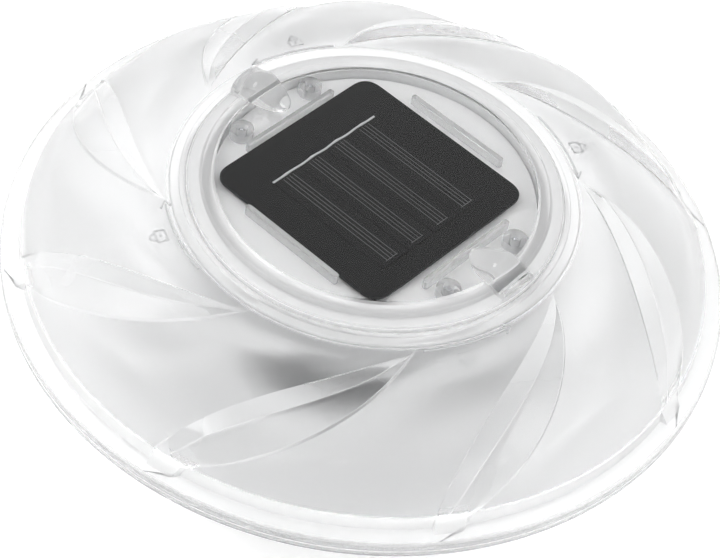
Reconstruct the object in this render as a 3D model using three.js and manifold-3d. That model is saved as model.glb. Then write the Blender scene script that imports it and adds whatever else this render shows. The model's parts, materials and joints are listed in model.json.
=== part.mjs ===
// Floating solar pool light, in millimetres, +Z up.
// The origin is the centre of the flat foot that the float rests on.
//
// Two clear shells are welded at the rim into a hollow float. A light module drops into the collar in
// the middle of the upper shell and is locked by a short turn of its cap: four lugs on the cap's skirt
// go down four slots in the collar and turn under its ledge. The parts are drawn with the cap seated
// and its lugs under the slots, so it can be lifted straight out, or turned clockwise to lock it.
import * as THREE from 'three';
import { mergeVertices } from 'three/addons/utils/BufferGeometryUtils.js';
import { ConvexGeometry } from 'three/addons/geometries/ConvexGeometry.js';
import Module from 'manifold-3d';

const wasm = await Module();
wasm.setup();

const DEG = Math.PI / 180;
const GAP = 0.3; // between touching pieces
const RIM_R = 90; // half the overall diameter
const WALL = 2; // shell thickness
const ROUND = 48; // sides of a large round part
const SMALL_ROUND = 12; // sides of a small round part

// Rim: the two flanges meet at the seam
const SEAM_Z = 34.3;
const FLANGE = 2; // thickness of each flange
const FLANGE_IN_R = 83.6;
const SHOULDER_R = 85.6; // where the dome drops to the flange
const SHOULDER_Z = 39.6;
const RIM_BREAK = 0.6; // chamfer of the rim's outer corners
const TONGUE = { r: 81.8, z: 37.5 }; // rib of the lower shell that locates the upper one

const FOOT = { r: 27.5, hollow: 1.6 }; // inner edge of the foot ring

// Collar of the upper shell, which takes the cap
const SEAT_Z = 57.1; // the cap's brim sits over this face
const COLLAR_IN_R = 42.5;
const COLLAR_OUT_R = 47.6;
const COLLAR_Z = 45.2; // underside of the collar
const SHELF_IN_R = 38.4; // the seal's shelf
const SHELF_Z = 47;
const LIP_R = 46.3; // round wall outside the brim
const LIP_Z = 58.4;
const LIP_OUT_R = 49.2;

// Twist lock
const LUGS = 4;
const LUG_AT = 45 * DEG; // first lug, from +X
const LUG_HALF = 6 * DEG;
const LUG_R = 44.4;
const LUG_Z = [50, 52.4];
const SLOT_HALF = 7 * DEG;
const SLOT_ROOM = 0.5; // round the lug, in the slot and in its run
const TURN = 32 * DEG; // clockwise from seated to locked

// Cap
const BRIM_R = 45.9;
const DECK_R = 39.2;
const DECK_Z = 61;
const DECK_THICK = 2;
const SKIRT_R = 42;
const SKIRT_Z = SHELF_Z + 2.2;
const BOSS = { x: 34.3, y: 12, r: 3, hole: 1.35, z: 56.4 };
const GRIP = { from: 30.5, peak: 39.5, to: 45.4, half: 5.2, rise: 5, tail: 3 };

// Swirl blades raised on the dome
const BLADES = 8;
const BLADE_TIP_AT = 8 * DEG;
const BLADE_SWEEP = 45 * DEG; // from the tip, on the flange, back to the root, by the collar
const BLADE_R = [51.3, 87];
const BLADE_RISE = 1.1;

// Solar panel under the cap's deck
const PANEL = { side: 54, corner: 5, thick: 1.2, z: 57, x: -1.1, y: -0.9 };
const CELLS = { count: 4, pitch: 8.9, width: 8.5, from: -17, to: 20, middle: -1.3, thick: 0.3 };
const RIB = { length: 30, width: 1.6, at: 29.3, drop: 2.4 };

// Module housing, a cup screwed under the cap, with a square mouth that the panel covers
const CUP_R = 33;
const CUP_WALL = 1.8;
const CUP_Z = 15.4;
const CUP_FLOOR = 2.6;
const CUP_FLANGE = { r: 39.6, z: 54.1, thick: 2, mouth: 25.4 };
const CUP_INSIDE_Z = CUP_Z + CUP_FLOOR;

// Battery bay in the housing's floor, along X
const BAY = { half: 25.6, y: -9, width: 12, top: CUP_Z + 14.6, wall: 1.2, roof: 22 };
const CELL = { r: 5.25, from: -19.9, to: 23.8, nub: 0.8, z: CUP_Z + 8.8 };
const CONTACT = { thick: 0.4, width: 9, tab: 3 };
CONTACT.bottom = CUP_Z + 4.1;
CONTACT.shoulder = CUP_Z + 13.6;
CONTACT.top = CUP_Z + 17.1;
const DOOR = { from: -27, to: 25.6, half: 6.9, tabX: 27.2, tabR: 3.6, thick: 1.2, recess: 1.5 };
const DOOR_SCREW = { post: CUP_Z + 8.6, hole: CUP_Z + 7.1 };

// Circuit board and switch
const BOARD = { x: 42, y: 19, at: 12, z: CUP_Z + 10.6, thick: 1.6 };
const BOARD_SCREW = { x: 18.5, y: 13, hole: CUP_Z + 4.6 };
const LED_AT = [[-16, 7], [16, 7], [-11, 18], [11, 18]];
const BUTTON = { y: 15, r: 4, bottom: CUP_Z - 1.2, flange: 5.5 };
const SWITCH = { side: 7, bottom: CUP_Z + 6.1, bore: 1.8, depth: 3.5 };

// ---- solids ---------------------------------------------------------------------------------------

// A closed geometry as a manifold-3d solid with its faces pointing out.
function solid(geometry) {
  const g = geometry.clone();
  g.deleteAttribute('normal');
  g.deleteAttribute('uv');
  const merged = mergeVertices(g, 1e-4);
  const vertProperties = new Float32Array(merged.attributes.position.array);
  const triVerts = new Uint32Array(merged.index.array);
  const made = new wasm.Manifold(new wasm.Mesh({ numProp: 3, vertProperties, triVerts }));
  if (made.volume() > 0) return made;
  for (let i = 0; i < triVerts.length; i += 3) {
    [triVerts[i + 1], triVerts[i + 2]] = [triVerts[i + 2], triVerts[i + 1]];
  }
  return new wasm.Manifold(new wasm.Mesh({ numProp: 3, vertProperties, triVerts }));
}

const join = (solids) => solids.reduce((a, b) => a.add(b));
const cut = (body, tools) => tools.reduce((a, b) => a.subtract(b), body);
const times = (count, make) => Array.from({ length: count }, (_, i) => make(i));
const CORNERS = [[1, 1], [-1, 1], [-1, -1], [1, -1]];
const point = (r, z) => new THREE.Vector2(r, z);

// A profile of [r, z] points turned round Z.
function turned(profile, sides = ROUND) {
  const points = profile.map(([r, z]) => point(r, z));
  const closed = profile[0][0] > 0 ? [...points, points[0]] : points;
  return solid(new THREE.LatheGeometry(closed, sides).rotateX(Math.PI / 2));
}

function rod(r, z0, z1, x = 0, y = 0, sides = SMALL_ROUND) {
  const g = new THREE.CylinderGeometry(r, r, z1 - z0, sides).rotateX(Math.PI / 2);
  return solid(g.translate(x, y, (z0 + z1) / 2));
}

function block(x0, x1, y0, y1, z0, z1) {
  const g = new THREE.BoxGeometry(x1 - x0, y1 - y0, z1 - z0);
  return solid(g.translate((x0 + x1) / 2, (y0 + y1) / 2, (z0 + z1) / 2));
}

function extruded(shape, z0, z1, curveSegments = 4) {
  const g = new THREE.ExtrudeGeometry(shape, { depth: z1 - z0, bevelEnabled: false, curveSegments });
  return solid(g.translate(0, 0, z0));
}

// Part of a flat ring, between two angles.
function ringPart(r0, r1, a0, a1, z0, z1) {
  const shape = new THREE.Shape();
  shape.moveTo(r0 * Math.cos(a0), r0 * Math.sin(a0));
  shape.lineTo(r1 * Math.cos(a0), r1 * Math.sin(a0));
  shape.absarc(0, 0, r1, a0, a1, false);
  shape.lineTo(r0 * Math.cos(a1), r0 * Math.sin(a1));
  shape.absarc(0, 0, r0, a1, a0, true);
  return extruded(shape, z0, z1);
}

function roundedRectangle(x0, x1, y0, y1, r) {
  const shape = new THREE.Shape();
  shape.absarc(x1 - r, y1 - r, r, 0, Math.PI / 2, false);
  shape.absarc(x0 + r, y1 - r, r, Math.PI / 2, Math.PI, false);
  shape.absarc(x0 + r, y0 + r, r, Math.PI, 1.5 * Math.PI, false);
  shape.absarc(x1 - r, y0 + r, r, 1.5 * Math.PI, 2 * Math.PI, false);
  shape.closePath();
  return shape;
}

// A curve in the [r, z] plane as points, moved sideways by a distance to its right-hand side.
function offsetCurve(curve, distance, steps) {
  return times(steps + 1, (i) => {
    const p = curve.getPoint(i / steps);
    const t = curve.getTangent(i / steps);
    return [p.x + distance * t.y, p.y - distance * t.x];
  });
}

// A round bar along a curve.
function bar(points, r, steps, sides = 6) {
  const section = new THREE.Shape();
  section.absarc(0, 0, r, 0, 2 * Math.PI, false);
  const extrudePath = new THREE.CatmullRomCurve3(points.map((p) => new THREE.Vector3(...p)));
  return solid(new THREE.ExtrudeGeometry(section, { steps, extrudePath, curveSegments: sides / 2 }));
}

// ---- parts ----------------------------------------------------------------------------------------

const group = new THREE.Group();

// Adds a solid to the model. A piece drawn about its own axis is given its place, and some a turn too.
function add(parent, name, made, material, place = [0, 0, 0], turn = [0, 0, 0]) {
  const mesh = made.getMesh();
  const indexed = new THREE.BufferGeometry();
  indexed.setAttribute('position', new THREE.BufferAttribute(mesh.vertProperties, 3));
  indexed.setIndex(new THREE.BufferAttribute(mesh.triVerts, 1));
  const geometry = indexed.toNonIndexed();
  geometry.computeVertexNormals();
  const part = new THREE.Mesh(geometry, material);
  part.name = name;
  part.position.set(...place);
  part.rotation.set(...turn);
  parent.add(part);
}

const finish = (color, roughness, metalness = 0, opacity = 1) =>
  new THREE.MeshStandardMaterial({ color, roughness, metalness, opacity, transparent: opacity < 1 });
const MATERIALS = {
  frosted: finish(0xe9eaec, 0.45, 0, 0.7),
  clear: finish(0xf4f6f7, 0.12, 0, 0.35),
  seal: finish(0xd9dcdf, 0.6),
  panel: finish(0x1a1b1d, 0.25),
  silicon: finish(0x232428, 0.3),
  steel: finish(0xb9bcc0, 0.3, 1),
  board: finish(0x1f6b3a, 0.5),
  led: finish(0xf6f8ff, 0.1, 0, 0.6),
  black: finish(0x18181a, 0.5),
  white: finish(0xeeeeec, 0.4),
  sleeve: finish(0x3f9a5a, 0.35),
  copper: finish(0xb36a3c, 0.35, 1),
  red: finish(0xb3231f, 0.45),
};

// Dome of the upper shell, from the lip to the shoulder, in the [r, z] plane.
const DOME = new THREE.QuadraticBezierCurve(point(49.8, 57.6), point(72.7, 54), point(84.8, 41));
const DOME_STEPS = 6;

// Blade outline: both edges sweep round from the root to the tip, the trailing one sooner.
function bladeOutline(k) {
  const [inner, outer] = BLADE_R;
  const steps = 10;
  const at = (u, power) => {
    const r = inner + (outer - inner) * u;
    const a = BLADE_TIP_AT + (k * 2 * Math.PI) / BLADES + BLADE_SWEEP * (1 - u) ** power;
    return point(r * Math.cos(a), r * Math.sin(a));
  };
  const trailing = times(steps + 1, (i) => at(i / steps, 2.4 - (1.05 * i) / steps));
  const leading = times(steps - 1, (i) => at(1 - (i + 1) / steps, 0.65));
  return new THREE.Shape([...trailing, ...leading]);
}

function upperShell() {
  const rimTop = SEAM_Z + GAP + FLANGE;
  const outside = [
    [SHELF_IN_R, COLLAR_Z],
    [SHELF_IN_R, SHELF_Z],
    [COLLAR_IN_R, SHELF_Z],
    [COLLAR_IN_R, SEAT_Z],
    [LIP_R, SEAT_Z],
    [LIP_R, LIP_Z],
    [LIP_OUT_R, LIP_Z],
    ...offsetCurve(DOME, 0, DOME_STEPS),
    [SHOULDER_R, SHOULDER_Z],
    [SHOULDER_R, rimTop],
    [RIM_R - RIM_BREAK, rimTop],
    [RIM_R, rimTop - RIM_BREAK],
    [RIM_R, SEAM_Z + GAP],
  ];
  const inside = [
    [FLANGE_IN_R, SEAM_Z + GAP],
    [FLANGE_IN_R, SHOULDER_Z - 0.6],
    ...offsetCurve(DOME, WALL, DOME_STEPS).reverse(),
    [COLLAR_OUT_R, SEAT_Z - 1.5],
    [COLLAR_OUT_R, COLLAR_Z],
  ];
  const shell = turned([...outside, ...inside]);

  // the blades are the stretches of a slightly raised dome that lie inside their outlines
  const raised = turned([
    ...offsetCurve(DOME, -BLADE_RISE, DOME_STEPS),
    [SHOULDER_R, SHOULDER_Z],
    [SHOULDER_R - 1, SHOULDER_Z],
    ...offsetCurve(DOME, 1, DOME_STEPS).reverse(),
  ]);
  const outlines = join(times(BLADES, (k) => extruded(bladeOutline(k), SEAM_Z, DECK_Z)));
  const blades = raised.intersect(outlines);

  const r = [COLLAR_IN_R - 1, LUG_R + SLOT_ROOM];
  const [bottom, top] = [LUG_Z[0] - SLOT_ROOM, LUG_Z[1] + SLOT_ROOM];
  const slots = times(LUGS, (k) => {
    const a = LUG_AT + (k * 2 * Math.PI) / LUGS;
    const slot = ringPart(...r, a - SLOT_HALF, a + SLOT_HALF, bottom, SEAT_Z + 1);
    return slot.add(ringPart(...r, a - SLOT_HALF - TURN, a, bottom, top));
  });
  return cut(shell.add(blades), slots);
}

// The bowl stands on a flat ring round a shallow hollow.
function lowerShell() {
  const bowl = new THREE.CubicBezierCurve(point(35, 0), point(52, 1.5), point(72, 17), point(83.6, 31.6));
  const flangeZ = SEAM_Z - FLANGE;
  return turned([
    [0, FOOT.hollow],
    [FOOT.r - 1.5, FOOT.hollow],
    [FOOT.r, 0],
    ...offsetCurve(bowl, 0, 6),
    [84.4, flangeZ],
    [RIM_R - RIM_BREAK, flangeZ],
    [RIM_R, flangeZ + RIM_BREAK],
    [RIM_R, SEAM_Z],
    [FLANGE_IN_R - GAP, SEAM_Z],
    [FLANGE_IN_R - GAP, TONGUE.z],
    [TONGUE.r, TONGUE.z],
    ...offsetCurve(bowl, -WALL, 6).reverse(),
    [FOOT.r + 0.7, WALL],
    [FOOT.r - 0.9, FOOT.hollow + WALL],
    [0, FOOT.hollow + WALL],
  ]);
}

// Finger grip on the cap: half a bullet whose ridge climbs from a round nose to a peak, then falls to a
// tail at the brim.
function grip(side) {
  const { from, peak, to, half, rise, tail } = GRIP;
  const points = [];
  for (let i = 0; i <= 8; i += 1) {
    const a = Math.PI / 2 + (i * Math.PI) / 8;
    points.push([from + half + half * Math.cos(a), half * Math.sin(a), DECK_Z - 2]);
  }
  for (const y of [-half, half]) {
    points.push([from + half, y, DECK_Z], [to, y, DECK_Z - 2]);
    points.push([to, y * 0.95, DECK_Z], [peak, y * 0.45, DECK_Z + rise * 0.8]);
  }
  points.push([peak, 0, DECK_Z + rise], [to, -1.5, DECK_Z + tail], [to, 1.5, DECK_Z + tail]);
  const hull = new ConvexGeometry(points.map(([x, y, z]) => new THREE.Vector3(side * x, y, z)));
  return solid(hull);
}

function topCap() {
  const under = DECK_Z - DECK_THICK;
  const disc = turned([
    [0, DECK_Z],
    [DECK_R, DECK_Z],
    [DECK_R + 0.7, DECK_Z - 0.7],
    [42.4, DECK_Z - 0.8],
    [43, DECK_Z - 1.5],
    [BRIM_R - 0.5, DECK_Z - 1.8],
    [BRIM_R, DECK_Z - 2.2],
    [BRIM_R, SEAT_Z + GAP],
    [SKIRT_R, SEAT_Z + GAP],
    [SKIRT_R, SKIRT_Z],
    [SKIRT_R - WALL, SKIRT_Z],
    [SKIRT_R - WALL, under],
    [0, under],
  ]);
  const lugs = times(LUGS, (k) => {
    const a = LUG_AT + (k * 2 * Math.PI) / LUGS;
    return ringPart(SKIRT_R - 1, LUG_R, a - LUG_HALF, a + LUG_HALF, ...LUG_Z);
  });
  const bosses = CORNERS.map(([i, j]) => rod(BOSS.r, BOSS.z, under + 1, i * BOSS.x, j * BOSS.y));
  const holes = CORNERS.map(([i, j]) => rod(BOSS.hole, BOSS.z - 1, under + 0.6, i * BOSS.x, j * BOSS.y));
  const across = RIB.width / 2;
  const along = RIB.length / 2;
  const ribs = [1, -1].flatMap((side) => {
    const near = side * RIB.at - across;
    const far = side * RIB.at + across;
    return [
      extruded(roundedRectangle(near, far, -along, along, across * 0.98), under - RIB.drop, under + 1),
      extruded(roundedRectangle(-along, along, near, far, across * 0.98), under - RIB.drop, under + 1),
    ];
  });
  return cut(join([disc, ...lugs, ...bosses, ...ribs, grip(1), grip(-1)]), holes);
}

const capSeal = () =>
  turned([
    [SHELF_IN_R + 0.5, SHELF_Z + 0.1],
    [SKIRT_R + 0.2, SHELF_Z + 0.1],
    [SKIRT_R + 0.2, SKIRT_Z - GAP],
    [SHELF_IN_R + 0.5, SKIRT_Z - GAP],
  ]);

// Outline of the battery door, grown by a margin for the recess it sits in.
function doorOutline(margin) {
  const { from, to, half, tabX, tabR } = DOOR;
  const shape = new THREE.Shape();
  const reach = tabR + margin;
  shape.moveTo(from - margin, BAY.y - half - margin);
  shape.lineTo(to + margin, BAY.y - half - margin);
  shape.lineTo(to + margin, BAY.y - reach);
  shape.lineTo(tabX, BAY.y - reach);
  shape.absarc(tabX, BAY.y, reach, -Math.PI / 2, Math.PI / 2, false);
  shape.lineTo(to + margin, BAY.y + reach);
  shape.lineTo(to + margin, BAY.y + half + margin);
  shape.lineTo(from - margin, BAY.y + half + margin);
  shape.closePath();
  return shape;
}

function moduleHousing() {
  const inside = CUP_R - CUP_WALL;
  const cup = turned([
    [0, CUP_Z],
    [CUP_R - 1.2, CUP_Z],
    [CUP_R, CUP_Z + 1.2],
    [CUP_R, CUP_FLANGE.z],
    [CUP_FLANGE.r, CUP_FLANGE.z],
    [CUP_FLANGE.r, CUP_FLANGE.z + CUP_FLANGE.thick],
    [inside, CUP_FLANGE.z + CUP_FLANGE.thick],
    [inside, CUP_INSIDE_Z],
    [0, CUP_INSIDE_Z],
  ]);
  const { z, thick, mouth } = CUP_FLANGE;
  const opening = block(-mouth, mouth, -mouth, mouth, z - 1, z + thick + 1);
  const shelf = rod(CUP_R - 0.5, z, z + thick, 0, 0, ROUND).subtract(opening);
  const y0 = BAY.y - BAY.width / 2;
  const y1 = BAY.y + BAY.width / 2;
  const w = BAY.wall;
  const walls = block(-BAY.half - w, BAY.half + w, y0 - w, y1 + w, CUP_INSIDE_Z - 0.5, BAY.top + w);
  const screwPost = rod(2.4, CUP_INSIDE_Z - 0.5, DOOR_SCREW.post, DOOR.tabX + 0.4, BAY.y);
  const posts = [1, -1].map((i) =>
    rod(2, CUP_INSIDE_Z - 0.5, BOARD.z - GAP, i * BOARD_SCREW.x, BOARD_SCREW.y));

  const bay = block(-BAY.half, BAY.half, y0, y1, CUP_Z - 1, BAY.top);
  const ends = [1, -1].map((i) => {
    const x = [i * BAY.roof, i * (BAY.half + 0.01)].sort((a, b) => a - b);
    return block(x[0], x[1], y0, y1, BAY.top - 1, BAY.top + w + 1);
  });
  const recess = extruded(doorOutline(GAP), CUP_Z - 1, CUP_Z + DOOR.recess);
  const doorScrew = rod(1.25, CUP_Z, DOOR_SCREW.hole, DOOR.tabX, BAY.y);
  const button = rod(BUTTON.r + GAP, CUP_Z - 1, CUP_INSIDE_Z + 1, 0, BUTTON.y, 20);
  const boardScrews = [1, -1].map((i) =>
    rod(1.25, BOARD_SCREW.hole, BOARD.z, i * BOARD_SCREW.x, BOARD_SCREW.y));
  const capScrews = CORNERS.map(([i, j]) =>
    rod(1.6, CUP_FLANGE.z - 1, CUP_FLANGE.z + 4, i * BOSS.x, j * BOSS.y));
  const holes = [bay, ...ends, recess, doorScrew, button, ...boardScrews, ...capScrews];
  return cut(join([cup, shelf, walls, screwPost, ...posts]), holes);
}

// Pan-head screw pointing up, with the middle of its head's outer face at the origin.
const screw = (r, headR, headH, length) =>
  turned([[0, 0], [headR - 0.5, 0], [headR, 0.5], [headR, headH], [r, headH], [r, length - 0.8],
    [r * 0.45, length], [0, length]], SMALL_ROUND);

function panelBoard() {
  const half = PANEL.side / 2;
  const { x, y } = PANEL;
  const outline = roundedRectangle(x - half, x + half, y - half, y + half, PANEL.corner);
  return extruded(outline, PANEL.z, PANEL.z + PANEL.thick, 6);
}

function mainBoard() {
  const { x, y, at, z, thick } = BOARD;
  const plate = extruded(roundedRectangle(-x / 2, x / 2, at - y / 2, at + y / 2, 1.5), z, z + thick);
  return cut(plate, [1, -1].map((i) => rod(1.3, z - 1, z + thick + 1, i * BOARD_SCREW.x, BOARD_SCREW.y)));
}

// Five-millimetre lamp hanging down from the origin, with its dome lowest.
function led() {
  const dome = times(4, (i) => {
    const a = (i / 3) * (Math.PI / 2);
    return [2.5 * Math.sin(a), -4 - 2.5 * Math.cos(a)];
  });
  return turned([...dome, [2.5, -1], [2.9, -1], [2.9, 0], [0, 0]], SMALL_ROUND);
}

// Wire-wound choke standing on the origin.
const inductor = () =>
  turned([[0, 0], [3.4, 0], [3.4, 1], [2.6, 1], [2.6, 4], [3.4, 4], [3.4, 5], [0, 5]], 16);

function powerSwitch() {
  const half = SWITCH.side / 2;
  const body = block(-half, half, BUTTON.y - half, BUTTON.y + half, SWITCH.bottom, BOARD.z - 0.05);
  return body.subtract(rod(SWITCH.bore, SWITCH.bottom - 1, SWITCH.bottom + SWITCH.depth, 0, BUTTON.y));
}

// Push button about its own axis, with a flange that keeps it in the housing.
function powerButton() {
  const stop = CUP_INSIDE_Z + GAP;
  return turned([[0, BUTTON.bottom], [BUTTON.r - 0.6, BUTTON.bottom], [BUTTON.r, BUTTON.bottom + 0.6],
    [BUTTON.r, stop], [BUTTON.flange, stop], [BUTTON.flange, stop + 0.6], [0, stop + 0.6]], 20);
}

const switchPlunger = () => rod(1.5, CUP_INSIDE_Z + GAP + 0.65, SWITCH.bottom + 1.5);

// Coil spring along Z, with a radius that may change from one end to the other.
function coil(z0, z1, r0, r1, turns, wire) {
  const stepsPerTurn = 12;
  const n = turns * stepsPerTurn;
  const points = times(n + 1, (i) => {
    const a = (i / stepsPerTurn) * 2 * Math.PI;
    const r = r0 + ((r1 - r0) * i) / n;
    return [r * Math.cos(a), r * Math.sin(a), z0 + ((z1 - z0) * i) / n];
  });
  return bar(points, wire / 2, n);
}

const buttonSpring = () => coil(CUP_INSIDE_Z + 1.3, SWITCH.bottom - 0.4, 2.6, 2.6, 3, 0.4);

// Rechargeable cell about its own axis, with its nub at the far end.
function batteryCell() {
  const { r, from, to, nub } = CELL;
  return turned([[0, from], [r - 0.4, from], [r, from + 0.4], [r, to - 0.5], [r - 0.5, to],
    [1.8, to], [1.8, to + nub], [0, to + nub]], 24);
}

function contactPlate(x) {
  const half = CONTACT.width / 2;
  const tab = CONTACT.tab / 2;
  const { thick, bottom, shoulder, top } = CONTACT;
  const plate = block(x, x + thick, BAY.y - half, BAY.y + half, bottom, shoulder);
  return plate.add(block(x, x + thick, BAY.y - tab, BAY.y + tab, shoulder - 0.5, top));
}

const contactSpring = () => coil(-24.5, -20.6, 3.8, 2.4, 3, 0.6);

function batteryDoor() {
  const { thick, tabX } = DOOR;
  const plate = extruded(doorOutline(0), CUP_Z, CUP_Z + thick);
  const ribs = [-14, 0, 14].map((x) =>
    block(x - 0.6, x + 0.6, BAY.y - 4, BAY.y + 4, CUP_Z + 1, CUP_INSIDE_Z - 0.2));
  const countersink = rod(2.2, CUP_Z - 1, CUP_Z + 0.6, tabX, BAY.y);
  return cut(join([plate, ...ribs]), [countersink, rod(1.25, CUP_Z - 1, CUP_Z + 3, tabX, BAY.y)]);
}

function wire(points) {
  return bar(points, 0.6, 12);
}

// ---- assembly -------------------------------------------------------------------------------------

const float = new THREE.Group();
const light = new THREE.Group();
group.add(float, light);

add(float, 'upper_shell', upperShell(), MATERIALS.frosted);
add(float, 'lower_shell', lowerShell(), MATERIALS.clear);
add(float, 'cap_seal', capSeal(), MATERIALS.seal);

add(light, 'top_cap', topCap(), MATERIALS.clear);
add(light, 'module_housing', moduleHousing(), MATERIALS.frosted);
const headHeight = 1.6;
CORNERS.forEach(([i, j], k) => {
  const place = [i * BOSS.x, j * BOSS.y, CUP_FLANGE.z - GAP - headHeight];
  add(light, `housing_screw_${k + 1}`, screw(1.05, 2.3, headHeight, 6.9), MATERIALS.steel, place);
});

add(light, 'panel_board', panelBoard(), MATERIALS.panel);
const cellZ = PANEL.z + PANEL.thick + 0.05;
times(CELLS.count, (k) => {
  const y = CELLS.middle + (k - (CELLS.count - 1) / 2) * CELLS.pitch;
  const half = CELLS.width / 2;
  const made = block(CELLS.from, CELLS.to, y - half, y + half, cellZ, cellZ + CELLS.thick);
  add(light, `solar_cell_${k + 1}`, made, MATERIALS.silicon);
});
const ribbonHalf = (CELLS.count * CELLS.pitch) / 2;
const ribbonZ = cellZ + CELLS.thick + 0.05;
const ribbon = block(CELLS.from + 0.2, CELLS.from + 1, CELLS.middle - ribbonHalf, CELLS.middle + ribbonHalf,
  ribbonZ, ribbonZ + 0.15);
add(light, 'cell_ribbon', ribbon, MATERIALS.steel);

add(light, 'main_board', mainBoard(), MATERIALS.board);
const boardTop = BOARD.z + BOARD.thick + 0.05;
[1, -1].forEach((i, k) => {
  const place = [i * BOARD_SCREW.x, BOARD_SCREW.y, boardTop + 1.35];
  add(light, `board_screw_${k + 1}`, screw(0.95, 2, 1.3, 6), MATERIALS.steel, place, [Math.PI, 0, 0]);
});
LED_AT.forEach(([x, y], k) => add(light, `led_${k + 1}`, led(), MATERIALS.led, [x, y, BOARD.z - 0.05]));
add(light, 'driver_chip', block(-9, -4, 9, 13, boardTop, boardTop + 1.5), MATERIALS.black);
add(light, 'inductor', inductor(), MATERIALS.copper, [7, 11, boardTop]);

const buttonAxis = [0, BUTTON.y, 0];
add(light, 'power_switch', powerSwitch(), MATERIALS.black);
add(light, 'switch_plunger', switchPlunger(), MATERIALS.white, buttonAxis);
add(light, 'power_button', powerButton(), MATERIALS.white, buttonAxis);
add(light, 'button_spring', buttonSpring(), MATERIALS.steel, buttonAxis);

const batteryAxis = [0, BAY.y, CELL.z];
const alongX = [0, Math.PI / 2, 0];
add(light, 'battery_cell', batteryCell(), MATERIALS.sleeve, batteryAxis, alongX);
add(light, 'negative_contact', contactPlate(-25.3), MATERIALS.steel);
add(light, 'contact_spring', contactSpring(), MATERIALS.steel, batteryAxis, alongX);
add(light, 'positive_contact', contactPlate(24.9), MATERIALS.steel);
add(light, 'battery_door', batteryDoor(), MATERIALS.frosted);
const doorScrewAt = [DOOR.tabX, BAY.y, CUP_Z - 0.4];
add(light, 'door_screw', screw(0.95, 1.9, 0.8, 6), MATERIALS.steel, doorScrewAt);

const panelBack = PANEL.z - GAP;
const solder = boardTop + GAP;
const tab = CONTACT.top + GAP;
const bend = tab + 2.5; // the battery's leads loop over here, between their tabs and the board
const panelRed = [[8, 2, panelBack], [8, 3, 48], [13, 6, 38], [14, 9, 31], [14, 9, solder]];
const panelBlack = [[-8, 2, panelBack], [-8, 3, 47], [-12, 6, 39], [-14, 9, 32], [-14, 9, solder]];
const batteryRed = [[25.1, BAY.y, tab], [25.5, -7, bend], [23, 0, bend], [19, 5, bend - 4], [18, 6, solder]];
const batteryBlack = [[-25.1, BAY.y, tab], [-25.5, -7, bend], [-23, 0, bend + 0.5], [-19, 5, bend - 4],
  [-18, 6, solder]];
add(light, 'panel_lead_red', wire(panelRed), MATERIALS.red);
add(light, 'panel_lead_black', wire(panelBlack), MATERIALS.black);
add(light, 'battery_lead_red', wire(batteryRed), MATERIALS.red);
add(light, 'battery_lead_black', wire(batteryBlack), MATERIALS.black);

export default group;
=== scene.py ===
"""Looks of the floating solar pool light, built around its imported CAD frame.

Lengths are in millimetres, as in the CAD, and become metres when a mesh is made. Z is up, the cap's two
finger grips lie on X, and angles are in degrees anticlockwise from +X, seen from above.
"""

import json
import math

import bmesh
import bpy
import numpy as np
from mathutils import Matrix, Vector


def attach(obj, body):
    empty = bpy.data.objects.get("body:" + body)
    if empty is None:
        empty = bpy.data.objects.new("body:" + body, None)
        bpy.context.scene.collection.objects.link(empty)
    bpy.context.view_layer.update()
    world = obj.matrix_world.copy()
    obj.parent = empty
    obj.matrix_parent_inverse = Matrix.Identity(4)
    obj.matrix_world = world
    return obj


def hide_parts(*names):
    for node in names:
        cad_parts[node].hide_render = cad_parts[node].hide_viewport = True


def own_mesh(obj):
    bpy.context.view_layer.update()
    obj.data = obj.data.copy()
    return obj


MM = 0.001
ROUND = 192  # sides of a large round piece
TURN = 360

# Rim and dome of the upper shell
RIM_R = 90
SEAM_Z = 34.3
GAP = 0.3
FLANGE_TOP = 36.6
SHOULDER_R = 85.4
WALL = 2
DOME_FROM = (50.6, 57.3)
DOME_BEND = (72.7, 54)
DOME_TO = (84.0, 41.4)

# Collar and cap
COLLAR_R = 42.5
LIP_R = 46.3
SEAT_Z = 57.1
SHELF_R = 38.4
SHELF_Z = 47
COLLAR_Z = 45.2
LIP_TOP = 58.3
DECK_Z = 61
DECK_R = 39.2
BRIM_R = 45.9
SKIRT_R = 42
SKIRT_Z = 49.2
LUG_R = 44.4
LUG_Z = (50, 52.4)
UNDER_DECK = DECK_Z - 2
BOSS_X, BOSS_Y, BOSS_Z = 34.3, 12, 56.4
RIB_AT, RIB_LENGTH, RIB_WIDTH = 29.3, 30, 1.6
CORNERS = ((1, 1), (-1, 1), (-1, -1), (1, -1))

# Swirl blades
BLADES = 8
SECTOR = TURN / BLADES
BLADE_TIP_AT = 8
BLADE_SWEEP = 45
BLADE_R = (51.3, 87)

# Solar panel
PANEL_X, PANEL_Y, PANEL_Z, PANEL_HALF, PANEL_THICK = -1.1, -0.9, 57, 27, 1.2
CELL_PITCH, CELL_WIDTH, CELL_FROM, CELL_TO, CELLS_MIDDLE = 8.9, 8.5, -17, 20, -1.3
CELL_Z, CELL_THICK = PANEL_Z + PANEL_THICK + 0.05, 0.3
FINGER_HALF, FINGER_RISE = 0.07, 0.03
FINGERS_AT = (-1.7, -0.6, 0.4, 1.5)  # across a cell, from its middle

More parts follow.
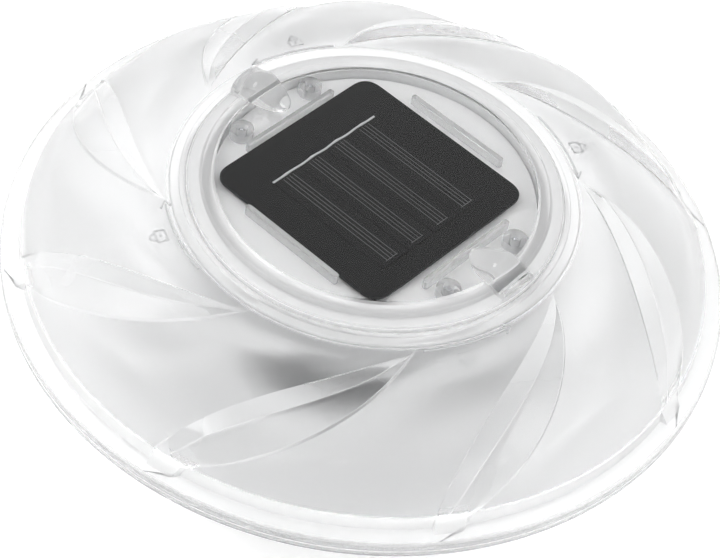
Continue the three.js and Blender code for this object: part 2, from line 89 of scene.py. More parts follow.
# Module housing and what it holds
CUP_R, CUP_WALL, CUP_Z, CUP_INSIDE_Z = 33, 1.8, 15.4, 18
CUP_FLANGE_R, CUP_FLANGE_Z, CUP_MOUTH = 39.6, 54.1, 25.4
PILOT_R = 1.25  # hole that a small screw goes into
BAY_HALF, BAY_Y, BAY_WIDTH, BAY_TOP, BAY_WALL = 25.6, -9, 12, CUP_Z + 14.6, 1.2
CELL_AXIS_Z = CUP_Z + 8.8
CONTACT_Z = (CUP_Z + 4.1, CUP_Z + 13.6, CUP_Z + 17.1)
TAB_X = 27.2
BOARD_Z, BOARD_TOP = CUP_Z + 10.6, CUP_Z + 12.25
BOARD_SCREW = (18.5, 13)
BUTTON_Y = 15
SWITCH_BOTTOM = CUP_Z + 6.1
LEDS = ((-16, 7), (16, 7), (-11, 18), (11, 18))
INDUCTOR = (7, 11)
LEAD_R = 0.6
PANEL_JOINT, BATTERY_JOINT = (14, 9), (18, 6)  # where the leads are soldered, on both sides of the board

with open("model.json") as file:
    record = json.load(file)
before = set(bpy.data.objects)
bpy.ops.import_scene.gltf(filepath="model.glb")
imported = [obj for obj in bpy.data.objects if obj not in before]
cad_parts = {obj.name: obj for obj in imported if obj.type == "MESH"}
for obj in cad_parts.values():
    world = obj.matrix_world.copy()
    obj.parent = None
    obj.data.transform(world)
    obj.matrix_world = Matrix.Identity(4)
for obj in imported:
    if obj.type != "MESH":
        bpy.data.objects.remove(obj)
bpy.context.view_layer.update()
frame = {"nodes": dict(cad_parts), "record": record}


# ---- meshes -----------------------------------------------------------------------------------------


def new_object(name, vertices, faces, sharp_angle=35, numbers=None):
    """A smooth mesh piece from vertices in millimetres, sharp where faces meet at more than the angle.

    Numbers, if given, say which of the piece's materials each face has.
    """
    mesh = bpy.data.meshes.new(name)
    mesh.from_pydata([tuple(c * MM for c in v) for v in vertices], [], [tuple(f) for f in faces])
    if numbers:
        mesh.polygons.foreach_set("material_index", numbers)
    mesh.validate()
    tidy = bmesh.new()
    tidy.from_mesh(mesh)
    bmesh.ops.remove_doubles(tidy, verts=tidy.verts, dist=1e-7)
    bmesh.ops.recalc_face_normals(tidy, faces=tidy.faces)
    tidy.to_mesh(mesh)
    tidy.free()
    mesh.shade_smooth()
    mesh.set_sharp_from_angle(angle=math.radians(sharp_angle))
    piece = bpy.data.objects.new(name, mesh)
    bpy.context.scene.collection.objects.link(piece)
    return piece


def grid_faces(rows, columns, closed_rows=True, closed_columns=True):
    """Quads between neighbouring rows and columns of a grid whose vertices run along its rows."""
    faces = []
    for i in range(rows if closed_rows else rows - 1):
        for j in range(columns if closed_columns else columns - 1):
            a, b = i * columns, ((i + 1) % rows) * columns
            k = (j + 1) % columns
            faces.append((a + j, a + k, b + k, b + j))
    return faces


def fillet(profile, radii, steps=4):
    """A closed profile with each corner rounded to its radius, given in the same order."""
    rounded = []
    count = len(profile)
    for i, corner in enumerate(profile):
        here = Vector(corner)
        before = Vector(profile[i - 1]) - here
        after = Vector(profile[(i + 1) % count]) - here
        radius = radii[i] if i < len(radii) else 0
        if radius <= 0:
            rounded.append(tuple(here))
            continue
        half = before.angle(after) / 2
        reach = min(radius / math.tan(half), before.length * 0.49, after.length * 0.49)
        start = here + before.normalized() * reach
        end = here + after.normalized() * reach
        for k in range(steps + 1):
            t = k / steps
            rounded.append(tuple(start * (1 - t) ** 2 + here * 2 * t * (1 - t) + end * t**2))
    return rounded


def lathe(name, profile, sides=ROUND, sharp_angle=35):
    """A closed (r, z) profile turned round Z."""
    angles = [math.radians(TURN * j / sides) for j in range(sides)]
    vertices = [(r * math.cos(a), r * math.sin(a), z) for r, z in profile for a in angles]
    return new_object(name, vertices, grid_faces(len(profile), sides), sharp_angle)


def tube(name, points, radius, sides=10, closed=False):
    """A round bar through points in millimetres, made as a mesh."""
    curve = bpy.data.curves.new(name, "CURVE")
    curve.dimensions = "3D"
    curve.bevel_depth = radius * MM
    curve.bevel_resolution = max(1, sides // 4)
    curve.use_fill_caps = True
    spline = curve.splines.new("POLY")
    spline.points.add(len(points) - 1)
    for place, p in zip(spline.points, points):
        place.co = (*(c * MM for c in p), 1)
    spline.use_cyclic_u = closed
    holder = bpy.data.objects.new(name, curve)
    bpy.context.scene.collection.objects.link(holder)
    mesh = bpy.data.meshes.new_from_object(holder)
    bpy.data.objects.remove(holder)
    mesh.shade_smooth()
    piece = bpy.data.objects.new(name, mesh)
    bpy.context.scene.collection.objects.link(piece)
    return piece


def merged(name, parts):
    """One mesh piece from several, which needn't touch."""
    joined = bmesh.new()
    for part in parts:
        joined.from_mesh(part.data)
        bpy.data.objects.remove(part)
    mesh = bpy.data.meshes.new(name)
    joined.to_mesh(mesh)
    joined.free()
    piece = bpy.data.objects.new(name, mesh)
    bpy.context.scene.collection.objects.link(piece)
    return piece


def combine(target, tools, operation):
    """Joins other closed pieces to the target, or cuts them from it, and removes them."""
    for tool in tools:
        modifier = target.modifiers.new("combine", "BOOLEAN")
        modifier.operation = operation
        modifier.object = tool
        modifier.solver = "MANIFOLD"
    bpy.context.view_layer.update()
    evaluated = target.evaluated_get(bpy.context.evaluated_depsgraph_get())
    mesh = bpy.data.meshes.new_from_object(evaluated)
    target.modifiers.clear()
    target.data = mesh
    for tool in tools:
        bpy.data.objects.remove(tool)
    mesh.shade_smooth()
    mesh.set_sharp_from_angle(angle=math.radians(35))


def level(piece):
    """Keeps the shading of a piece's flat faces flat beside their rounded edges."""
    modifier = piece.modifiers.new("level", "WEIGHTED_NORMAL")
    modifier.keep_sharp = True
    modifier.weight = 80
    bpy.context.view_layer.update()
    evaluated = piece.evaluated_get(bpy.context.evaluated_depsgraph_get())
    mesh = bpy.data.meshes.new_from_object(evaluated)
    piece.modifiers.clear()
    piece.data = mesh


def polar(r, degrees, z):
    a = math.radians(degrees)
    return (r * math.cos(a), r * math.sin(a), z)


# ---- materials --------------------------------------------------------------------------------------


def material(name, color, roughness, **inputs):
    """A Principled material; returns it with its node tree and shader for more nodes to be added."""
    made = bpy.data.materials.new(name)
    made.use_nodes = True
    shader = made.node_tree.nodes["Principled BSDF"]
    shader.inputs["Base Color"].default_value = (*color, 1)
    shader.inputs["Roughness"].default_value = roughness
    for key, value in inputs.items():
        shader.inputs[key.replace("_", " ")].default_value = value
    return made, made.node_tree, shader


def noise(tree, scale, detail=3, distortion=0):
    """Noise in object space, scale in waves per metre."""
    place = tree.nodes.new("ShaderNodeTexCoord")
    texture = tree.nodes.new("ShaderNodeTexNoise")
    texture.inputs["Scale"].default_value = scale
    texture.inputs["Detail"].default_value = detail
    texture.inputs["Distortion"].default_value = distortion
    tree.links.new(place.outputs["Object"], texture.inputs["Vector"])
    return texture.outputs["Fac"]


def remap(tree, value, low, high):
    node = tree.nodes.new("ShaderNodeMapRange")
    node.inputs["From Min"].default_value = 0.3
    node.inputs["From Max"].default_value = 0.7
    node.inputs["To Min"].default_value = low
    node.inputs["To Max"].default_value = high
    tree.links.new(value, node.inputs["Value"])
    return node.outputs["Result"]


def bump(tree, shader, height, strength, distance_mm):
    node = tree.nodes.new("ShaderNodeBump")
    node.inputs["Strength"].default_value = strength
    node.inputs["Distance"].default_value = distance_mm * MM
    tree.links.new(height, node.inputs["Height"])
    tree.links.new(node.outputs["Normal"], shader.inputs["Normal"])


def moulded(name, color, roughness, spread, grain_scale, grain, **inputs):
    """Moulded plastic: roughness that wanders slowly over the surface, and a fine grain."""
    made, tree, shader = material(name, color, roughness, **inputs)
    wander = remap(tree, noise(tree, 35), roughness - spread, roughness + spread)
    tree.links.new(wander, shader.inputs["Roughness"])
    bump(tree, shader, noise(tree, grain_scale, 5), grain, 0.1)
    return made


PLASTIC = (0.99, 0.992, 0.995)
FROSTED = moulded("frosted_plastic", PLASTIC, 0.42, 0.06, 2600, 0.2, Transmission_Weight=0.985, IOR=1.4)
SATIN = moulded("satin_plastic", PLASTIC, 0.27, 0.05, 900, 0.12, Transmission_Weight=0.975, IOR=1.38)
# Whiter, less clear plastic on the blades' edge and ridge beads: painted highlight lines.
EDGE_HIGHLIGHT = moulded("painted_edge_highlight", PLASTIC, 0.36, 0.05, 900, 0.12, Transmission_Weight=0.7, IOR=1.42)
HAZY = moulded("hazy_plastic", PLASTIC, 0.2, 0.05, 900, 0.08, Transmission_Weight=0.62, IOR=1.35, Alpha=0.85)
MILKY = moulded("milky_plastic", PLASTIC, 0.3, 0.05, 900, 0.1, Transmission_Weight=0.35, IOR=1.35)
MARK = moulded("raised_mark", (0.84, 0.845, 0.85), 0.3, 0.05, 900, 0.1, Transmission_Weight=0.6, IOR=1.4)
CLEAR = moulded("clear_plastic", PLASTIC, 0.1, 0.03, 260, 0.05, Transmission_Weight=0.96, IOR=1.4, Alpha=0.6)
POLISHED = moulded("polished_plastic", (1, 1, 1), 0.05, 0.02, 200, 0.02, Transmission_Weight=1.0, IOR=1.3)
GLASSY = moulded("glassy_plastic", PLASTIC, 0.05, 0.02, 260, 0.04, Transmission_Weight=0.95, IOR=1.46)
HOUSING = moulded("housing_plastic", PLASTIC, 0.4, 0.06, 1800, 0.2, Transmission_Weight=0.1, IOR=1.4)
# Near-black for the housing's lower cup and the battery door, so that a dark patch shows through the frosted
# shell: painted shade.
CUP_SHADE = moulded("painted_shade_cup", (0.045, 0.046, 0.048), 0.45, 0.06, 1800, 0.2)
SEAL = moulded("seal_rubber", (0.93, 0.935, 0.94), 0.5, 0.08, 1500, 0.2, Transmission_Weight=0.3)
PANEL = moulded("panel_resin", (0.008, 0.0083, 0.0088), 0.34, 0.06, 500, 0.1, Specular_IOR_Level=0.08)
SILICON = moulded("silicon", (0.0095, 0.0098, 0.0105), 0.32, 0.05, 900, 0.1, Specular_IOR_Level=0.08)
SILVER = moulded("cell_silver", (0.85, 0.86, 0.87), 0.35, 0.08, 1500, 0.2, Metallic=1.0)
FINGERS = moulded("cell_fingers", (0.17, 0.172, 0.175), 0.5, 0.08, 1500, 0.1, Metallic=0.3)
STEEL = moulded("zinc_steel", (0.62, 0.63, 0.65), 0.28, 0.08, 2500, 0.2, Metallic=1.0)
NICKEL = moulded("nickel", (0.7, 0.67, 0.62), 0.22, 0.06, 2500, 0.15, Metallic=1.0)
SOLDER = moulded("solder", (0.72, 0.72, 0.73), 0.3, 0.08, 2500, 0.2, Metallic=1.0)
BOARD = moulded("solder_mask", (0.012, 0.12, 0.04), 0.35, 0.06, 1200, 0.2)
LED_RESIN = moulded("led_resin", (0.95, 0.96, 0.98), 0.08, 0.03, 400, 0.05, Transmission_Weight=0.9, IOR=1.5)
BLACK = moulded("black_plastic", (0.015, 0.015, 0.017), 0.42, 0.08, 2200, 0.3)
WHITE = moulded("white_plastic", (0.78, 0.78, 0.76), 0.38, 0.06, 2200, 0.2)
SLEEVE = moulded("battery_sleeve", (0.04, 0.28, 0.1), 0.28, 0.05, 700, 0.12)
COPPER = moulded("copper_winding", (0.62, 0.22, 0.09), 0.3, 0.08, 3000, 0.3, Metallic=1.0)
RED = moulded("red_insulation", (0.5, 0.015, 0.012), 0.42, 0.05, 1500, 0.15)
DARK = moulded("black_insulation", (0.012, 0.012, 0.012), 0.42, 0.05, 1500, 0.15)

SLOT_MATERIALS = {
    "frosted_shell": FROSTED,
    "clear_shell": CLEAR,
    "clear_cap": POLISHED,
    "seal": SEAL,
    "housing": HOUSING,
    "door": HOUSING,
    "panel": PANEL,
    "silicon": SILICON,
    "ribbon": SILVER,
    "screw_steel": STEEL,
    "nickel": NICKEL,
    "circuit_board": BOARD,
    "led_lens": LED_RESIN,
    "black_plastic": BLACK,
    "white_plastic": WHITE,
    "battery_sleeve": SLEEVE,
    "copper": COPPER,
    "red_wire": RED,
    "black_wire": DARK,
}


def finish_nodes():
    """Gives every CAD node the material of its slot."""
    slots = {part["node"]: part["material_slot"] for part in frame["record"]["subparts"]}
    for name, node in frame["nodes"].items():
        made = SLOT_MATERIALS[slots[name]]
        if not node.material_slots:
            node.data.materials.append(made)
        for place in node.material_slots:
            place.material = made


def dress(piece, body, slot, *materials):
    """Gives a piece its materials and body, not its slot; its faces keep their material numbers."""
    data = piece.data
    numbers = [face.material_index for face in data.polygons]
    data.materials.clear()
    for made in materials:
        data.materials.append(made)
    data.polygons.foreach_set("material_index", [min(n, len(materials) - 1) for n in numbers])
    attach(piece, body)
    return piece


def stands_for(piece, node, body, slot, *materials):
    """Puts a fine piece in the place of a CAD node."""
    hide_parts(node)
    return dress(piece, body, slot, *materials)


# ---- upper shell ------------------------------------------------------------------------------------

BLADE_STEPS = 5  # columns across each half of a blade
GAP_STEPS = 20  # columns from one blade to the next
STEP = 0.2  # degrees taken by the small step at a blade's edge
RIDGE_RISE = 1.3
EDGE_RISE = 0.5
BEAD_RISE, BEAD_HALF = 0.16, 0.22
PILLOW_RISE = 2.9
CUT_R = 80  # from here out a blade runs on over the shoulder, down to the flange
BLADE_END = (87.2, FLANGE_TOP)
# The third material paints highlight lines along the blades' edges and ridges in whiter plastic.
IN_FROSTED, IN_SATIN, IN_EDGE_HIGHLIGHT, IN_CLEAR, IN_HAZY = range(5)


def smooth(value, low, high):
    t = min(max((value - low) / (high - low), 0), 1)
    return t * t * (3 - 2 * t)


def blade_edges(r):
    """Angles of a blade's trailing edge, ridge and leading edge at a radius, from its tip's angle."""
    u = min(max((r - BLADE_R[0]) / (BLADE_R[1] - BLADE_R[0]), 0), 0.995)
    v = 1 - u
    trailing = BLADE_SWEEP * v ** (2.4 - 1.05 * u)
    ridge = max(BLADE_SWEEP * v ** (0.92 + 1.2 * u * v), trailing + 0.3)
    leading = max(BLADE_SWEEP * v**0.65, ridge + 0.3)
    return trailing, ridge, leading


def blade_columns(r):
    """Columns of one sector at a radius, starting at a blade's edge.

    Each has its angle, height, pillow, the share it runs on over the shoulder, and its material.
    """
    trailing, ridge, leading = blade_edges(r)
    grow = smooth(r, BLADE_R[0], BLADE_R[0] + 5) * (1 - smooth(r, 79, 84.5))
    bead = math.degrees(BEAD_HALF / r)
    slim = min(bead, (ridge - trailing) / 4)
    wide = min(bead, (leading - ridge) / 4)
    columns = []
    for k in range(BLADE_STEPS + 1):
        t = k / BLADE_STEPS
        angle = trailing + (ridge - slim - trailing) * t
        # The last column of each facet, the beads and the leading edge take the whiter plastic: painted
        # highlight lines.
        kind = IN_EDGE_HIGHLIGHT if k == BLADE_STEPS else IN_SATIN
        columns.append((angle, EDGE_RISE + (RIDGE_RISE - EDGE_RISE) * t, 0, 1, kind))
    columns.append((ridge, RIDGE_RISE + BEAD_RISE, 0, 1, IN_EDGE_HIGHLIGHT))
    for k in range(BLADE_STEPS + 1):
        t = k / BLADE_STEPS
        angle = ridge + wide + (leading - ridge - 3 * wide) * t
        over = 1 - smooth(t, 0.8, 1.1)
        kind = IN_EDGE_HIGHLIGHT if k == BLADE_STEPS else IN_SATIN
        columns.append((angle, RIDGE_RISE + (EDGE_RISE - RIDGE_RISE) * t, 0, over, kind))
    columns.append((leading - wide, EDGE_RISE + BEAD_RISE, 0, 0, IN_EDGE_HIGHLIGHT))
    columns.append((leading, EDGE_RISE * 0.8, 0, 0, IN_EDGE_HIGHLIGHT))
    columns = [(angle, height * grow, pillow, over, kind) for angle, height, pillow, over, kind in columns]
    start, end = leading + STEP, trailing + SECTOR - STEP
    for k in range(GAP_STEPS + 1):
        t = k / GAP_STEPS
        columns.append((start + (end - start) * t, 0, math.sin(math.pi * t), 0, IN_FROSTED))
    return columns


def dome_curve(t):
    p, q, s = (Vector(v) for v in (DOME_FROM, DOME_BEND, DOME_TO))
    return p * (1 - t) ** 2 + q * 2 * t * (1 - t) + s * t**2


def dome_height(r):
    """Height of the dome, with no blade, at a radius."""
    points = [dome_curve(k / 100) for k in range(101)]
    return float(np.interp(r, [p.x for p in points], [p.y for p in points]))


def shell_section():
    """The shell's closed section as (r, z, relief, end, material).

    Relief is how much of the blades' height a row takes. End is where the row is on a blade that runs
    on over the shoulder, or None away from the shoulder.
    """
    collar = fillet(
        [(SHELF_R, COLLAR_Z), (SHELF_R, SHELF_Z), (COLLAR_R, SHELF_Z), (COLLAR_R, SEAT_Z), (LIP_R, SEAT_Z),
         (LIP_R, LIP_TOP), (47.5, LIP_TOP), (47.7, LIP_TOP - 0.35), (49.7, LIP_TOP - 0.35),
         (50.1, LIP_TOP - 1.0)],
        [0.3, 0.3, 0, 0.4, 0, 0.35, 0.2, 0.2, 0.5, 0.3],
        3,
    )
    steps = 44
    dome = [tuple(dome_curve(k / steps)) for k in range(steps + 1)]
    shoulder = fillet(
        [DOME_TO, (SHOULDER_R - 0.4, 40.0), (SHOULDER_R, FLANGE_TOP), (RIM_R, FLANGE_TOP),
         (RIM_R, SEAM_Z + GAP), (83.6, SEAM_Z + GAP), (83.6, 39)],
        [0, 1.7, 0.2, 0.8, 0.25, 0.2, 0.5],
        5,
    )[1:]
    over = [p for p in dome if p[0] > CUT_R] + shoulder[:12]
    lengths = np.cumsum([0] + [math.dist(a, b) for a, b in zip(over, over[1:])])
    start, finish = Vector(over[0]), Vector(BLADE_END)
    ends = {p: start.lerp(finish, length / lengths[-1]) for p, length in zip(over, lengths)}

    rows = [(r, z, 0, None, IN_HAZY) for r, z in collar]
    rows += [(r, z, 1, ends.get((r, z)), IN_FROSTED) for r, z in dome]
    rows += [(r, z, 0, ends.get((r, z)), IN_HAZY if (r, z) in ends else IN_CLEAR) for r, z in shoulder]
    for k in range(steps + 1):
        t = 1 - k / steps
        ahead = dome_curve(min(t + 0.01, 1)) - dome_curve(max(t - 0.01, 0))
        inside = dome_curve(t) + Vector((ahead.y, -ahead.x)).normalized() * WALL
        rows.append((max(inside.x, 47.8), inside.y, 0, None, IN_FROSTED))
    rows += [(47.6, SEAT_Z - 1.9, 0, None, IN_HAZY), (47.6, COLLAR_Z, 0, None, IN_HAZY)]
    return rows


def upper_shell():
    vertices, numbers = [], []
    section = shell_section()
    for r, z, relief, end, row_kind in section:
        fall = smooth(r, 51, 62) * (1 - smooth(r, 77, 84))
        for sector in range(BLADES):
            for angle, height, pillow, over, kind in blade_columns(r):
                share = over if end else 0
                place_r = r + (end.x - r) * share if end else r
                place_z = z + (end.y - z) * share if end else z
                lift = relief * (height + PILLOW_RISE * pillow * fall)
                vertices.append(polar(place_r, BLADE_TIP_AT + sector * SECTOR + angle, place_z + lift))
                numbers.append(kind if relief else row_kind)
    columns = len(vertices) // len(section)
    shell = new_object("upper_shell_fine", vertices, grid_faces(len(section), columns), 30, numbers)
    slots = []
    for k in range(4):
        middle = 45 + 90 * k
        slots.append(ring_block("slot", COLLAR_R - 1, 44.9, middle - 7, middle + 7, 49.4, SEAT_Z + 1))
        slots.append(ring_block("run", COLLAR_R - 1, 44.9, middle - 39, middle, 49.4, 52.9))
    combine(shell, slots, "DIFFERENCE")
    stands_for(shell, "upper_shell", "float", "frosted_shell", FROSTED, SATIN, EDGE_HIGHLIGHT, CLEAR, HAZY)


def lock_mark(number, middle, turn):
    """Raised mark on the dome: a padlock, and an arrow along an arc that points clockwise or back."""
    rise = 0.12

    def at(r, angle):
        return polar(r, angle, dome_height(r) + rise if r > 50.8 else LIP_TOP - 0.25)

    parts = []
    arc = [at(51.3, middle + turn * (k - 12)) for k in range(0, 25)]
    parts.append(tube("arc", arc, 0.26))
    tip = middle + turn * 13.5
    parts.append(tube("head", [at(52.5, tip - turn * 2.4), at(51.3, tip), at(50.4, tip - turn * 2.4)], 0.26))
    lock = middle - 2
    body = [(53.4, -1.8), (53.4, 1.8), (55.9, 1.8), (55.9, -1.8), (53.4, -1.8)]
    parts.append(tube("body", [at(r, lock + a) for r, a in body], 0.22))
    shackle = [(55.9 + 1.5 * math.sin(math.pi * k / 8), -1.1 * math.cos(math.pi * k / 8)) for k in range(9)]
    parts.append(tube("shackle", [at(r, lock + a) for r, a in shackle], 0.2))
    parts.append(tube("keyhole", [at(54.3, lock), at(55.0, lock)], 0.25))
    mark = merged(f"lock_mark_{number}", parts)
    dress(mark, "float", "frosted_shell", MARK)


def ring_block(name, r0, r1, a0, a1, z0, z1, steps=10):
    """Part of a ring between two angles."""
    vertices = []
    for k in range(steps + 1):
        a = a0 + (a1 - a0) * k / steps
        vertices += [polar(r0, a, z0), polar(r1, a, z0), polar(r1, a, z1), polar(r0, a, z1)]
    faces = grid_faces(steps + 1, 4, closed_rows=False)
    faces += [(3, 2, 1, 0), tuple(4 * steps + k for k in range(4))]
    return new_object(name, vertices, faces)


# ---- lower shell ------------------------------------------------------------------------------------


def lower_shell():
    bowl = [Vector(p) for p in ((35, 0), (52, 1.5), (72, 17), (83.6, 31.6))]
    steps = 30

    def at(t):
        s = 1 - t
        return bowl[0] * s**3 + bowl[1] * 3 * s * s * t + bowl[2] * 3 * s * t * t + bowl[3] * t**3

    outside = [tuple(at(k / steps)) for k in range(steps + 1)]
    inside = []
    for k in range(steps + 1):
        t = 1 - k / steps
        ahead = at(min(t + 0.01, 1)) - at(max(t - 0.01, 0))
        inside.append(tuple(at(t) + Vector((-ahead.y, ahead.x)).normalized() * WALL))
    flange_z = SEAM_Z - 2
    rim = fillet(
        [(84.4, flange_z), (RIM_R, flange_z), (RIM_R, SEAM_Z), (83.3, SEAM_Z), (83.3, 37.5), (81.8, 37.5)],
        [0, 0.8, 0.25, 0.1, 0.3, 0.3],
    )
    profile = [(0, 1.6), (25.8, 1.6), (26.6, 1.2), (27.1, 0.4), (27.9, 0)]
    profile += outside + rim + inside + [(28.2, 2), (27.6, 2.4), (26.9, 3.3), (26, 3.6), (0, 3.6)]
    shell = lathe("lower_shell_fine", profile)
    stands_for(shell, "lower_shell", "float", "clear_shell", CLEAR)
    return shell


# ---- cap --------------------------------------------------------------------------------------------


def grip(side):
    """Finger grip: a half bullet whose ridge climbs from a round nose to a peak, then falls to the brim."""
    nose, tail, half, rise = 30.5, 45.4, 5.2, 5.2
    rows, across = 26, 18
    vertices = []
    for i in range(rows + 1):
        t = i / rows
        x = nose + (tail - nose) * t
        width = half * math.sqrt(max(1 - (1 - min(t / 0.6, 1)) ** 2, 0)) + 0.02
        top = rise * min(t / 0.58, 1) ** 0.75 - 2.4 * smooth(t, 0.6, 1.05)
        for j in range(across + 1):
            a = math.pi * j / across
            y = width * math.cos(a)
            z = DECK_Z - 1.5 + (top + 1.5) * math.sin(a) ** 0.85
            vertices.append((side * x, y, z))
    faces = grid_faces(rows + 1, across + 1, closed_rows=False)
    faces += [tuple(range(across + 1)), tuple((across + 1) * rows + j for j in range(across + 1))]
    return new_object("grip", vertices, faces)


def slab(name, outline, z0, z1, edge=0.0):
    """A closed (x, y) outline raised from z0 to z1, with its upright edges cut back a little at both ends."""
    middle = sum((Vector(p) for p in outline), Vector((0, 0))) / len(outline)
    size = max((Vector(p) - middle).length for p in outline)
    small = [middle + (Vector(p) - middle) * (1 - edge / size) for p in outline]
    levels = [(small, z0), (outline, z0 + edge), (outline, z1 - edge), (small, z1)] if edge else [
        (outline, z0), (outline, z1)]
    vertices = [(x, y, z) for points, z in levels for x, y in points]
    count = len(outline)
    faces = grid_faces(len(levels), count, closed_rows=False)
    faces += [tuple(reversed(range(count))), tuple(range((len(levels) - 1) * count, len(levels) * count))]
    return new_object(name, vertices, faces)


def rectangle(x0, x1, y0, y1, radius=0.0, steps=6):
    x0, x1 = sorted((x0, x1))
    y0, y1 = sorted((y0, y1))
    return fillet([(x0, y0), (x1, y0), (x1, y1), (x0, y1)], [radius] * 4, steps)


def block(name, x0, x1, y0, y1, z0, z1, radius=0.0, edge=0.0):
    return slab(name, rectangle(x0, x1, y0, y1, radius), z0, z1, edge)


def cylinder(name, r, z0, z1, x, y, sides=32):
    piece = lathe(name, [(0, z0), (r, z0), (r, z1), (0, z1)], sides)
    return moved(piece, x, y, 0)


def moved(piece, x, y, z, turn=None):
    """The piece's mesh turned, if asked, and moved by millimetres."""
    place = Matrix.Translation((x * MM, y * MM, z * MM))
    piece.data.transform(place @ turn if turn else place)
    return piece


ALONG_X = Matrix.Rotation(math.radians(90), 4, "Y")
UPSIDE_DOWN = Matrix.Rotation(math.radians(180), 4, "X")


def top_cap():
    profile = fillet(
        [(0, DECK_Z), (DECK_R, DECK_Z), (39.9, DECK_Z - 0.6), (42.2, DECK_Z - 0.7), (42.9, DECK_Z - 1.4),
         (45.4, DECK_Z - 1.7), (BRIM_R, DECK_Z - 2.2), (BRIM_R, SEAT_Z + GAP), (SKIRT_R, SEAT_Z + GAP),
         (SKIRT_R, SKIRT_Z), (SKIRT_R - WALL, SKIRT_Z), (SKIRT_R - WALL, UNDER_DECK), (0, UNDER_DECK)],
        [0, 0.4, 0.3, 0.4, 0.4, 0.4, 0.3, 0.2, 0.2, 0.4, 0.4, 0.5, 0],
    )
    cap = lathe("top_cap_fine", profile)
    pieces = [grip(1), grip(-1)]
    for k in range(4):
        middle = 45 + 90 * k
        pieces.append(ring_block("lug", SKIRT_R - 1, LUG_R, middle - 6, middle + 6, *LUG_Z))
    half = RIB_LENGTH / 2
    for side in (1, -1):
        near, far = side * (RIB_AT - RIB_WIDTH / 2), side * (RIB_AT + RIB_WIDTH / 2)
        round_end = RIB_WIDTH * 0.48
        z = (UNDER_DECK - 2.4, UNDER_DECK + 1)
        pieces.append(block("rib", near, far, -half, half, *z, round_end))
        pieces.append(block("rib", -half, half, near, far, *z, round_end))
    holes = []
    for i, j in CORNERS:
        pieces.append(cylinder("boss", 3, BOSS_Z, UNDER_DECK + 1, i * BOSS_X, j * BOSS_Y))
        holes.append(cylinder("hole", 1.35, BOSS_Z - 1, UNDER_DECK + 0.6, i * BOSS_X, j * BOSS_Y))
    combine(cap, pieces, "UNION")
    combine(cap, holes, "DIFFERENCE")
    level(cap)
    for face in cap.data.polygons:
        x, y, z = face.center / MM
        deck = math.hypot(x, y) < DECK_R + 0.2 and UNDER_DECK - 0.05 < z < DECK_Z + 0.05
        skirt = math.hypot(x, y) > SKIRT_R - WALL - 0.5 and z < UNDER_DECK
        face.material_index = 2 if z > DECK_Z + 0.02 else 0 if deck else 3 if skirt else 1
    stands_for(cap, "top_cap", "light_module", "clear_cap", POLISHED, HAZY, GLASSY, MILKY)


def cap_seal():
    profile = fillet(
        [(38.9, SHELF_Z + 0.1), (42.2, SHELF_Z + 0.1), (42.2, SKIRT_Z - GAP), (38.9, SKIRT_Z - GAP)],
        [0.6] * 4,
    )
    stands_for(lathe("cap_seal_fine", profile), "cap_seal", "seal", "seal", SEAL)


# ---- solar panel ------------------------------------------------------------------------------------


def solar_panel():
    half = PANEL_HALF
    outline = rectangle(PANEL_X - half, PANEL_X + half, PANEL_Y - half, PANEL_Y + half, 5, 10)
    board = slab("panel_board_fine", outline, PANEL_Z, PANEL_Z + PANEL_THICK, 0.25)
    stands_for(board, "panel_board", "light_module", "panel", PANEL)
    for k in range(4):
        middle = CELLS_MIDDLE + (k - 1.5) * CELL_PITCH
        edge = CELL_WIDTH / 2
        top = CELL_Z + CELL_THICK
        cell = block("cell", CELL_FROM, CELL_TO, middle - edge, middle + edge, CELL_Z, top, 0.3, 0.05)
        cell.name = f"solar_cell_{k + 1}_fine"
        stands_for(cell, f"solar_cell_{k + 1}", "light_module", "silicon", SILICON)
        height = (top - FINGER_RISE, top + FINGER_RISE)
        start, end = CELL_FROM + 1.4, CELL_TO - 1.2
        lines = []
        for at in FINGERS_AT:
            y = middle + at
            lines.append(block("line", start, end, y - FINGER_HALF, y + FINGER_HALF, *height))
        tick = (end - FINGER_HALF, end + FINGER_HALF)
        lines.append(block("tick", *tick, middle - 2.2, middle + 1.8, *height))
        dress(merged(f"cell_fingers_{k + 1}", lines), "light_module", "silicon", FINGERS)
    reach = 2 * CELL_PITCH
    rows = 40
    vertices = []
    for i in range(rows + 1):
        t = i / rows
        y = CELLS_MIDDLE - reach + 2 * reach * t
        sway = 0.12 * math.sin(9 * t * math.pi) * math.sin(3 * t)
        lump = 0.08 * max(math.cos(2 * math.pi * 4 * (t - 0.125)), 0) ** 6
        wide, narrow, high = 0.3 + lump, (0.3 + lump) * 0.8, 0.12 + lump
        for x, z in ((-wide, 0), (wide, 0), (narrow, high), (-narrow, high)):
            vertices.append((CELL_FROM + 0.6 + sway + x, y, CELL_Z + CELL_THICK + 0.03 + z))
    faces = grid_faces(rows + 1, 4, closed_rows=False)
    faces += [(3, 2, 1, 0), tuple(4 * rows + k for k in range(4))]
    ribbon = new_object("cell_ribbon_fine", vertices, faces)
    stands_for(ribbon, "cell_ribbon", "light_module", "ribbon", SILVER)


# ---- module housing and screws ----------------------------------------------------------------------


def door_outline(margin):
    left, right, half = -27 - margin, 25.6 + margin, 6.9 + margin
    reach = 3.6 + margin
    outline = [(left, BAY_Y - half), (right, BAY_Y - half), (right, BAY_Y - reach)]
    outline += [
        (TAB_X + reach * math.cos(a), BAY_Y + reach * math.sin(a))
        for a in (math.radians(-90 + 180 * k / 16) for k in range(17))
    ]
    return outline + [(right, BAY_Y + reach), (right, BAY_Y + half), (left, BAY_Y + half)]


